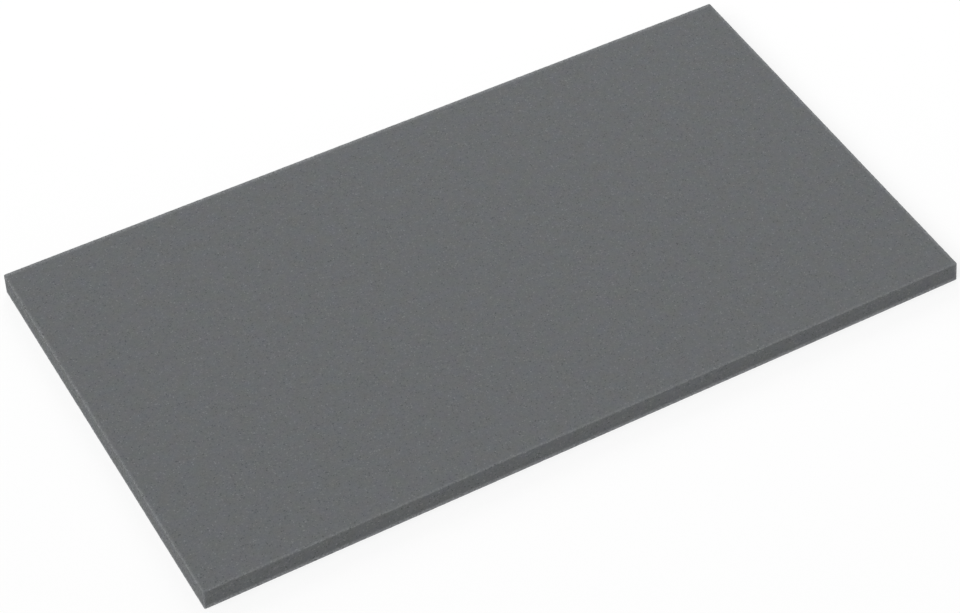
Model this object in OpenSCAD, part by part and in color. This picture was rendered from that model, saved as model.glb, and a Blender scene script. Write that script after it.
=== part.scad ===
// Foam insert for a case: one flat slab of open-cell foam, cut square on all four sides.
// +Z is up. The origin is the middle of the underside, +X runs along the length and +Y to the back.

/* [Slab] */
// Length of the slab, left end to right end
slab_length = 510; // [100:1:1200]
// Depth of the slab, front to back
slab_depth = 278; // [60:1:800]
// Thickness of the foam sheet that it is cut from
slab_thickness = 15; // [5:0.5:100]

/* [Cut edges] */
// Radius to which the foam relaxes along its top and bottom edges
edge_softness = 0.7; // [0.3:0.1:2]
// Radius to which it relaxes at its four upright corners
corner_softness = 0.8; // [0.3:0.1:3]

/* [Hidden] */
// An overrun carries each bar well past the faces that the other two bars cut
overrun = 10;
$fn = 48;

// A bar along Z, centred on it, with its four long edges rounded
module soft_bar(width, height, run, softness) {
    linear_extrude(run + 2 * overrun, center = true) {
        square([width - 2 * softness, height], center = true);
        square([width, height - 2 * softness], center = true);
        for (side = [-1, 1], level = [-1, 1])
            translate([side * (width / 2 - softness), level * (height / 2 - softness)])
                circle(softness);
    }
}

// The slab is what three soft bars, one along each axis, have in common.
// Each bar softens the four edges that run its way, and the corners come out mitred.
module foam_insert() {
    color("dimgray")
        translate([0, 0, slab_thickness / 2])
            intersection() {
                // along Z: the upright corners
                soft_bar(slab_length, slab_depth, slab_thickness, corner_softness);
                // along X: the edges of the front and back
                rotate([90, 0, 90]) soft_bar(slab_depth, slab_thickness, slab_length, edge_softness);
                // along Y: the edges of the two ends
                rotate([90, 0, 0]) soft_bar(slab_length, slab_thickness, slab_depth, edge_softness);
            }
}

foam_insert();
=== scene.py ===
import math

import bmesh
import bpy
from mathutils import Matrix, Vector


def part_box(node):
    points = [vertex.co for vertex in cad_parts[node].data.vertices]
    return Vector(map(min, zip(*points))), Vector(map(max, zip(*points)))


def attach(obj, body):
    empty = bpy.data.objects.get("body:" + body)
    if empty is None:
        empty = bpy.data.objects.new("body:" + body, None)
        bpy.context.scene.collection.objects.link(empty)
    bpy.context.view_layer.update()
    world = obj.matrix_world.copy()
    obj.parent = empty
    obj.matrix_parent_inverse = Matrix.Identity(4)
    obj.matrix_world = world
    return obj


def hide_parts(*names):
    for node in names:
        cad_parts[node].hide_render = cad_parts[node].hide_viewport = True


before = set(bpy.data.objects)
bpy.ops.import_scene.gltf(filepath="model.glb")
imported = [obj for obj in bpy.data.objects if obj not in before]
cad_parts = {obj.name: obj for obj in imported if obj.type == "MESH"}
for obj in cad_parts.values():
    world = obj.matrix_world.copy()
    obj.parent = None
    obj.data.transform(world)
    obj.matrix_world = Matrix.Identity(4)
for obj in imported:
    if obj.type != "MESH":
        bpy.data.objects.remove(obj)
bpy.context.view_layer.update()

# A grey foam insert for a case: one flat slab of open-cell foam.
# Metres, +Z up, origin at the middle of the underside, +X along the length, +Y to the back.

millimetre = 0.001


def deselectAll():
    if bpy.context.object and bpy.context.object.mode != "OBJECT":
        bpy.ops.object.mode_set(mode="OBJECT")
    bpy.ops.object.select_all(action="DESELECT")


def linearColour(hexValue):
    # "#rrggbb" as sRGB, turned to linear
    channels = [int(hexValue[i:i + 2], 16) / 255 for i in (1, 3, 5)]
    linear = [c / 12.92 if c <= 0.04045 else ((c + 0.055) / 1.055) ** 2.4 for c in channels]
    return (*linear, 1.0)


def addNode(tree, kind, settings=None, values=None, links=None):
    # one node, with its settings, the values of its inputs and the outputs that feed them
    node = tree.nodes.new(kind)
    for name, value in (settings or {}).items():
        setattr(node, name, value)
    for name, value in (values or {}).items():
        node.inputs[name].default_value = value
    for name, output in (links or {}).items():
        tree.links.new(output, node.inputs[name])
    return node


def newMaterial(name):
    material = bpy.data.materials.new(name)
    material.use_nodes = True
    material.node_tree.nodes.clear()
    return material, material.node_tree


def selectEdges(mesh, wanted):
    # in edit mode: selects only the edges that wanted() accepts
    shape = bmesh.from_edit_mesh(mesh)
    bpy.ops.mesh.select_all(action="DESELECT")
    for edge in shape.edges:
        if wanted(edge):
            edge.select_set(True)
    bmesh.update_edit_mesh(mesh)


def span(edge):
    # how far an edge runs along each axis
    return [abs(a - b) for a, b in zip(edge.verts[0].co, edge.verts[1].co)]


def middleOf(edge):
    return (edge.verts[0].co + edge.verts[1].co) / 2


cameraSettings = {
    "aim": (-0.0165, -0.0267, 0.015),  # the point of the top face that the camera looks at
    "azimuth": -29.59,  # degrees round from the front, negative towards the left end
    "elevation": 46.784,  # degrees above the floor
    "distance": 1.6903,  # from the point it looks at
    "lens": 105.48,  # millimetres, as the sensor
    "sensor": 36.0,
}


def addCamera(settings):
    azimuth = math.radians(settings["azimuth"])
    elevation = math.radians(settings["elevation"])
    level = math.cos(elevation)
    back = Vector((math.sin(azimuth) * level, -math.cos(azimuth) * level, math.sin(elevation)))
    right = Vector((0, 0, 1)).cross(back).normalized()
    upwards = back.cross(right)
    data = bpy.data.cameras.new("camera")
    data.lens = settings["lens"]
    data.sensor_width = settings["sensor"]
    camera = bpy.data.objects.new("camera", data)
    turned = Matrix((right, upwards, back)).transposed().to_4x4()
    camera.matrix_world = Matrix.Translation(Vector(settings["aim"]) + back * settings["distance"]) @ turned
    bpy.context.scene.collection.objects.link(camera)
    bpy.context.scene.camera = camera


addCamera(cameraSettings)
print("camera placed")


studioSettings = {
    "floorSize": 16.0,
    "floorColour": "#fbfbfb",
    "floorShown": 0.25,  # how much of the floor's own shading the camera sees, the rest is plain white
    "shownNear": 0.4,  # as much as that up to here from the middle
    "shownFar": 1.2,  # and nothing from here on
    "skyStrength": 0.34,  # on the slab and the floor
    "backdropStrength": 1.0,  # for the camera, where 1 is white
    "keyStrength": 2.25,
    "keyElevation": 49.0,  # degrees above the floor
    "keyAzimuth": 74.0,  # degrees, 0 is from the front and 90 from the left end
    "keySoftness": 50.0,  # how wide the lamp looks from the slab, in degrees
    "fillPower": 10.5,  # watts
    "fillSize": 1.2,
    "fillPlace": (0.6, 1.5, 1.3),  # above and beyond the back edge, a little to the right
}


def seenAsBackground(tree):
    # 1 for what the camera sees, straight on or in a mirror or a pane
    path = addNode(tree, "ShaderNodeLightPath").outputs
    straightOrMirrored = addNode(tree, "ShaderNodeMath", {"operation": "MAXIMUM"},
                                 links={0: path["Is Camera Ray"], 1: path["Is Glossy Ray"]})
    seen = addNode(tree, "ShaderNodeMath", {"operation": "MAXIMUM"},
                   links={0: straightOrMirrored.outputs[0], 1: path["Is Transmission Ray"]})
    return seen.outputs[0]


def addLamp(data, place):
    # a lamp at a place, turned to shine on the origin
    lamp = bpy.data.objects.new(data.name, data)
    lamp.matrix_world = Matrix.Translation(place) @ place.to_track_quat("Z", "Y").to_matrix().to_4x4()
    bpy.context.scene.collection.objects.link(lamp)


def addFloor(settings):
    # matt white, with the slab's shadow on it, and plain white further out
    deselectAll()
    bpy.ops.mesh.primitive_plane_add(size=settings["floorSize"], location=(0, 0, 0))
    floor = bpy.context.object
    floor.name = "floor"
    material, tree = newMaterial("matt white floor")
    matt = addNode(tree, "ShaderNodeBsdfDiffuse", values={"Color": linearColour(settings["floorColour"])})
    plain = addNode(tree, "ShaderNodeEmission",
                    values={"Color": (1, 1, 1, 1), "Strength": settings["backdropStrength"]})
    place = addNode(tree, "ShaderNodeTexCoord").outputs["Object"]
    away = addNode(tree, "ShaderNodeVectorMath", {"operation": "LENGTH"}, links={0: place})
    fade = addNode(tree, "ShaderNodeMapRange", {"interpolation_type": "SMOOTHSTEP"},
                   {"From Min": settings["shownNear"], "From Max": settings["shownFar"],
                    "To Min": 1 - settings["floorShown"], "To Max": 1.0}, {"Value": away.outputs["Value"]})
    share = addNode(tree, "ShaderNodeMath", {"operation": "MULTIPLY"},
                    links={0: seenAsBackground(tree), 1: fade.outputs[0]})
    mixed = addNode(tree, "ShaderNodeMixShader",
                    links={0: share.outputs[0], 1: matt.outputs[0], 2: plain.outputs[0]})
    addNode(tree, "ShaderNodeOutputMaterial", links={"Surface": mixed.outputs[0]})
    floor.data.materials.append(material)


def addSky(settings):
    world = bpy.data.worlds.new("plain white studio")
    world.use_nodes = True
    tree = world.node_tree
    tree.nodes.clear()
    strength = addNode(tree, "ShaderNodeMapRange",
                       values={"To Min": settings["skyStrength"], "To Max": settings["backdropStrength"]},
                       links={"Value": seenAsBackground(tree)})
    sky = addNode(tree, "ShaderNodeBackground", values={"Color": (1, 1, 1, 1)},
                  links={"Strength": strength.outputs[0]})
    addNode(tree, "ShaderNodeOutputWorld", links={"Surface": sky.outputs[0]})
    bpy.context.scene.world = world


def addLamps(settings):
    # a wide key lamp from the left end, and a softer panel beyond the back edge
    key = bpy.data.lights.new("key", "SUN")
    key.energy = settings["keyStrength"]
    key.angle = math.radians(settings["keySoftness"])
    azimuth = math.radians(settings["keyAzimuth"])
    elevation = math.radians(settings["keyElevation"])
    level = math.cos(elevation)
    addLamp(key, Vector((-math.sin(azimuth) * level, -math.cos(azimuth) * level, math.sin(elevation))))
    fill = bpy.data.lights.new("fill", "AREA")
    fill.energy = settings["fillPower"]
    fill.size = settings["fillSize"]
    addLamp(fill, Vector(settings["fillPlace"]))


addFloor(studioSettings)
addSky(studioSettings)
addLamps(studioSettings)
bpy.context.scene.view_settings.view_transform = "Standard"
print("studio lit")


slabSettings = {
    "node": "foam_insert",
    "lean": 1.0 * millimetre,  # the right end was cut out of square: top edge in, foot out, by this much
    "uprightRadius": 0.8 * millimetre,
    "topRadius": 0.7 * millimetre,
    "footRadius": 0.4 * millimetre,
    "roundSteps": 3,
    "sideSwell": 0.2 * millimetre,  # how far the cut sides stand out from the plain solid's
    "topSwell": 0.3 * millimetre,  # and how far the top does

    "cornerMargin": 3.0 * millimetre,  # clear of the rounded corners, where the even grid begins
    "lengthPieces": (12, 14),  # the grid's pieces along the length, cut in two goes
    "depthPieces": (7, 13),  # and from front to back
    "sideRows": 5,
    "skewShare": 0.05,  # an edge may stray from its axis by this much of its length
    "skewReach": 3.0 * millimetre,  # and this much more, and is still cut along it
    "fineBand": 9.1 * millimetre,  # how far in from the outline the mesh is finer
    # in that band, how long an edge may be before it is cut, and how many cuts it gets, in two goes
    "finerCuts": ((2.2 * millimetre, 2), (1.2 * millimetre, 1)),
    "mapAngle": 66.0,  # degrees between faces, past which the map has its seams
    "mapMargin": 0.003,  # between the map's islands, as a share of the map

    "cellSwell": 0.24 * millimetre,  # how far the cut cells stand in and out, from end to end
    "cellSize": 1.5 * millimetre,  # two or three cells together, because one is finer than the mesh
    "swellFrom": 1.0 * millimetre,  # full up to here in from the outline
    "swellTo": 3.0 * millimetre,  # and none from here on

    # how strongly a highlight is painted along the left, front, right and back edges of the top,
    # how far in from them, and how far down the cut sides
    "topPaintedHighlights": ((0.34, 1.9 * millimetre, 0.6 * millimetre),
                (0.33, 1.8 * millimetre, 0.5 * millimetre),
                (0.9, 2.3 * millimetre, 1.2 * millimetre),
                (0.95, 3.2 * millimetre, 1.2 * millimetre)),
    # how strongly a highlight is painted along the foot on the same four sides, and how far up them
    "footPaintedHighlights": ((1.4, 3.5 * millimetre), (1.95, 3.6 * millimetre),
                 (1.95, 3.6 * millimetre), (1.4, 3.5 * millimetre)),
    # how strongly a highlight is painted on the left front, left back, right front and right back uprights,
    # and how far along the sides
    "uprightPaintedHighlights": ((0.34, 1.4 * millimetre), (0.95, 1.4 * millimetre),
                    (1.1, 2.0 * millimetre), (0.95, 1.4 * millimetre)),
    "sawnSides": 0.25,  # how rough the long sides were sawn, next to the ends
    "sawnReach": 1.0 * millimetre,  # how far in over the split faces that fades
}


def runsAlong(edge, axis, shortest, settings):
    # True for an edge that is longer than shortest and runs along the axis, or nearly so
    run = span(edge)
    skew = settings["skewShare"] * run[axis] + settings["skewReach"]
    return run[axis] > shortest and sum(run) - run[axis] < skew


def cutEvenly(mesh, axis, shortest, pieces, settings):
    # cuts every such edge into equal pieces, in one or two goes
    for count in pieces:
        selectEdges(mesh, lambda edge: runsAlong(edge, axis, shortest, settings))
        bpy.ops.mesh.subdivide(number_cuts=count - 1)
        shortest /= count


def inPlan(point, box, lean):
    # how far a point lies in from the left end, the front, the leaning right end and the back
    endHere = box[1].x + lean * (1 - 2 * (point.z - box[0].z) / (box[1].z - box[0].z))
    return (point.x - box[0].x, point.y - box[0].y, endHere - point.x, box[1].y - point.y)


def paintedHighlightShare(point, box, settings):
    # how strongly a point is painted with a highlight: most on the edges, and below 0 away from them
    inwards = inPlan(point, box, settings["lean"])
    end = 0 if inwards[0] < inwards[2] else 2
    side = 1 if inwards[1] < inwards[3] else 3
    near, far = sorted((max(inwards[end], 0), max(inwards[side], 0)))
    nearest = end if inwards[end] < inwards[side] else side
    share, reach, drop = settings["topPaintedHighlights"][nearest]
    atTop = share * (1 - math.hypot(near / reach, max(box[1].z - point.z, 0) / drop))
    share, rise = settings["footPaintedHighlights"][nearest]
    atFoot = share * (1 - math.hypot(near / reach, max(point.z - box[0].z, 0) / rise))
    share, reach = settings["uprightPaintedHighlights"][end + side // 2]  # left front, left back, right front, right back
    atUpright = share * (1 - math.hypot(near, far) / reach)
    return max(atTop, atFoot, atUpright)


def sawnShare(point, box, settings):
    # how rough the saw left a point: 1 on the two ends, less on the long sides, 0 on the split faces
    left, front, right, back = inPlan(point, box, settings["lean"])
    atEnd = 1 - min(left, right) / settings["sawnReach"]
    atSide = settings["sawnSides"] * (1 - min(front, back) / settings["sawnReach"])
    return min(1.0, max(0.0, atEnd, atSide))


def buildSlab(settings):
    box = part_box(settings["node"])
    size = box[1] - box[0]
    middle = (box[0] + box[1]) / 2
    lean = settings["lean"]
    deselectAll()
    rise = Vector((0, 0, settings["topSwell"] / 2))
    spread = Vector((settings["sideSwell"], settings["sideSwell"], 0))
    bpy.ops.mesh.primitive_cube_add(size=1, location=middle + rise, scale=size + 2 * (rise + spread))
    bpy.ops.object.transform_apply(location=True, rotation=True, scale=True)
    slab = bpy.context.object
    slab.name = "foamInsert"
    slab.data.name = "foamInsert"
    mesh = slab.data

    bpy.ops.object.mode_set(mode="EDIT")
    bpy.ops.mesh.select_mode(type="EDGE")
    for level, shift in ((box[1].z, -lean), (box[0].z, lean)):  # the right end's top edge, then its foot
        selectEdges(mesh, lambda edge: all(abs(v.co.x - box[1].x) < 2 * lean
                                           and abs(v.co.z - level) < size.z / 4 for v in edge.verts))
        bpy.ops.transform.translate(value=(shift, 0, 0))

    selectEdges(mesh, lambda edge: span(edge)[2] > size.z / 2)  # the four uprights
    bpy.ops.mesh.bevel(offset=settings["uprightRadius"], segments=settings["roundSteps"], affect="EDGES")
    for level, radius in ((box[1].z, settings["topRadius"]), (box[0].z, settings["footRadius"])):  # all round
        selectEdges(mesh, lambda edge: all(abs(v.co.z - level) < size.z / 4 for v in edge.verts))
        bpy.ops.mesh.bevel(offset=radius, segments=settings["roundSteps"], affect="EDGES")

    # four straight cuts divide the flat faces from their rounded corners
    reach = Vector((size.x / 2 - settings["cornerMargin"], size.y / 2 - settings["cornerMargin"]))
    for axis, half in enumerate(reach):
        for side in (-1, 1):
            place = Vector((0, 0, 0))
            place[axis] = side * half
            normal = Vector((0, 0, 0))
            normal[axis] = 1
            bpy.ops.mesh.select_all(action="SELECT")
            bpy.ops.mesh.bisect(plane_co=place, plane_no=normal)
    print("slab outlined and rounded:", len(bmesh.from_edit_mesh(mesh).faces), "faces")

    # an even grid, then a finer one beside every edge, where the cut cells show
    cutEvenly(mesh, 0, reach.x, settings["lengthPieces"], settings)
    cutEvenly(mesh, 1, reach.y, settings["depthPieces"], settings)
    cutEvenly(mesh, 2, size.z / 2, (settings["sideRows"],), settings)
    for longest, cuts in settings["finerCuts"]:
        selectEdges(mesh, lambda edge: edge.calc_length() > longest
                    and min(inPlan(middleOf(edge), box, lean)) < settings["fineBand"])
        bpy.ops.mesh.subdivide(number_cuts=cuts)
    bpy.ops.mesh.select_all(action="SELECT")
    bpy.ops.mesh.normals_make_consistent(inside=False)
    bpy.ops.uv.smart_project(angle_limit=math.radians(settings["mapAngle"]),
                             island_margin=settings["mapMargin"], scale_to_bounds=True)
    bpy.ops.object.mode_set(mode="OBJECT")
    mesh.uv_layers.active.name = "OFBake"
    print("slab meshed:", len(mesh.polygons), "faces")

    # worked out on the plain shape, and written once nothing changes the mesh any more
    paintedHighlight = [paintedHighlightShare(vertex.co, box, settings) for vertex in mesh.vertices]
    sawn = [sawnShare(vertex.co, box, settings) for vertex in mesh.vertices]

    # the cut cells stand in and out a little on the sides and along the rounded edges
    cut = slab.vertex_groups.new(name="cutCells")
    fade = settings["swellTo"] - settings["swellFrom"]
    for vertex in mesh.vertices:
        weight = min(1.0, (settings["swellTo"] - min(inPlan(vertex.co, box, lean))) / fade)
        if weight > 0:
            cut.add([vertex.index], weight, "REPLACE")
    cells = bpy.data.textures.new("cutCells", "CLOUDS")
    cells.noise_scale = settings["cellSize"]
    cells.noise_depth = 1
    swell = slab.modifiers.new("cutCells", "DISPLACE")
    swell.texture = cells
    swell.texture_coords = "LOCAL"
    swell.vertex_group = "cutCells"
    swell.strength = settings["cellSwell"]
    swell.mid_level = 0.5
    bpy.ops.object.modifier_apply(modifier=swell.name)
    slab.vertex_groups.clear()

    # the share of the painted highlight along the edges, read by the material
    mesh.attributes.new("paintedHighlight", "FLOAT", "POINT").data.foreach_set("value", paintedHighlight)
    mesh.attributes.new("sawn", "FLOAT", "POINT").data.foreach_set("value", sawn)
    bpy.ops.object.shade_smooth()
    return slab


foamSettings = {
    "openPore": "#535557",  # the few cells that were cut wide open
    "cellWall": "#656769",
    "strut": "#6b6d6e",
    "glint": "#7b7d7f",  # the few cells that kept a window, which catches the light
    "even": "#67696b",  # the middle between them
    "openShare": 0.055,  # the share of cells darker than the walls
    "glintShare": 0.05,  # and of those lighter than the struts
    "sawnContrast": 2.4,  # how much more the cells differ on the sawn ends than on the split faces
    "paintedHighlight": "#9c9ea0",  # painted highlight along the edges
    "cell": 0.64 * millimetre,  # 40 cells to the inch
    "cellDepth": 0.12 * millimetre,
    "cellBump": 0.5,
    "mottle": 2.6 * millimetre,  # four cells, over which some are packed closer and look darker
    "mottleDetail": 3.0,
    "mottleRoughness": 0.6,
    "mottleRange": (0.3, 0.7),  # what the noise mostly runs between
    "mottleShift": 0.035,  # how far that darkens and lightens the cells
    "dyePatch": 9.0 * millimetre,  # the dye took very slightly unevenly, in patches about this wide
    "dyeDetail": 2.0,
    "dyeShift": (0.08, 0.07, 0.15),  # how far red, green and blue wander
    "roughness": 0.95,  # the cut struts scatter nearly all of the light
    "specular": 0.05,
}


def openCellFoam(settings):
    # Open-cell polyurethane foam, dyed charcoal grey and split with a blade: matt, with a fine even grain
    # of cut cells under a millimetre across. A few lie wide open and dark, a few catch the light.
    material, tree = newMaterial("open-cell polyurethane foam")
    place = addNode(tree, "ShaderNodeTexCoord").outputs["Object"]
    cells = addNode(tree, "ShaderNodeTexVoronoi", {"voronoi_dimensions": "3D", "feature": "F1"},
                    {"Scale": 1 / settings["cell"], "Randomness": 1.0}, {"Vector": place})
    each = addNode(tree, "ShaderNodeSeparateColor", links={0: cells.outputs["Color"]})  # numbers by chance
    ramp = addNode(tree, "ShaderNodeValToRGB", links={"Fac": each.outputs[0]})
    stops = ((0.0, "openPore"), (settings["openShare"], "cellWall"),
             (1 - settings["glintShare"], "strut"), (1.0, "glint"))
    while len(ramp.color_ramp.elements) < len(stops):
        ramp.color_ramp.elements.new(0.5)
    for stop, (position, colour) in zip(ramp.color_ramp.elements, stops):
        stop.position = position
        stop.color = linearColour(settings[colour])

    # a few cells together are a little darker or lighter
    mottle = addNode(tree, "ShaderNodeTexNoise", {"noise_dimensions": "3D"},
                     {"Scale": 1 / settings["mottle"], "Detail": settings["mottleDetail"],
                      "Roughness": settings["mottleRoughness"]}, {"Vector": place})
    low, high = settings["mottleRange"]
    mottled = addNode(tree, "ShaderNodeMapRange",
                      values={"From Min": low, "From Max": high,
                              "To Min": 1 - settings["mottleShift"], "To Max": 1 + settings["mottleShift"]},
                      links={"Value": mottle.outputs["Fac"]})
    body = addNode(tree, "ShaderNodeVectorMath", {"operation": "SCALE"},
                   links={0: ramp.outputs["Color"], "Scale": mottled.outputs[0]})

    # on the sawn ends the cells differ more
    sawn = addNode(tree, "ShaderNodeAttribute", {"attribute_name": "sawn", "attribute_type": "GEOMETRY"})
    contrast = addNode(tree, "ShaderNodeMapRange", values={"To Min": 1.0, "To Max": settings["sawnContrast"]},
                       links={"Value": sawn.outputs["Fac"]})
    grain = addNode(tree, "ShaderNodeMix", {"data_type": "RGBA", "clamp_factor": False},
                    {6: linearColour(settings["even"])}, {0: contrast.outputs[0], 7: body.outputs[0]})

    # the dye comes after that, so that the ends don't strengthen its unevenness, and keeps the mean colour
    dye = addNode(tree, "ShaderNodeTexNoise", {"noise_dimensions": "3D"},
                  {"Scale": 1 / settings["dyePatch"], "Detail": settings["dyeDetail"]}, {"Vector": place})
    shift = settings["dyeShift"]
    tint = addNode(tree, "ShaderNodeVectorMath", {"operation": "MULTIPLY_ADD"},
                   {1: shift, 2: [1 - part / 2 for part in shift]}, {0: dye.outputs["Color"]})
    dyed = addNode(tree, "ShaderNodeVectorMath", {"operation": "MULTIPLY"},
                   links={0: grain.outputs[2], 1: tint.outputs[0]})

    # near the edges some cells get a painted highlight, the attribute being below 0 away from them
    near = addNode(tree, "ShaderNodeAttribute", {"attribute_name": "paintedHighlight", "attribute_type": "GEOMETRY"})
    paintedHighlight = addNode(tree, "ShaderNodeMath", {"operation": "MAXIMUM"}, {1: 0.0}, {0: near.outputs["Fac"]})
    caught = addNode(tree, "ShaderNodeMath", {"operation": "MULTIPLY", "use_clamp": True},
                     links={0: paintedHighlight.outputs[0], 1: each.outputs[1]})
    colour = addNode(tree, "ShaderNodeMix", {"data_type": "RGBA"}, {7: linearColour(settings["paintedHighlight"])},
                     {0: caught.outputs[0], 6: dyed.outputs[0]})

    # every cell is a small hollow
    height = addNode(tree, "ShaderNodeBump",
                     values={"Strength": settings["cellBump"], "Distance": settings["cellDepth"]},
                     links={"Height": cells.outputs["Distance"]})
    surface = addNode(tree, "ShaderNodeBsdfPrincipled",
                      values={"Roughness": settings["roughness"], "Specular IOR Level": settings["specular"]},
                      links={"Base Color": colour.outputs[2], "Normal": height.outputs[0]})
    addNode(tree, "ShaderNodeOutputMaterial", links={"Surface": surface.outputs[0]})
    return material


slab = buildSlab(slabSettings)
slab.data.materials.append(openCellFoam(foamSettings))
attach(slab, "root")
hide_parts(slabSettings["node"])
triangles = sum(len(face.vertices) - 2 for face in slab.data.polygons)
print("foam insert done:", triangles, "triangles")
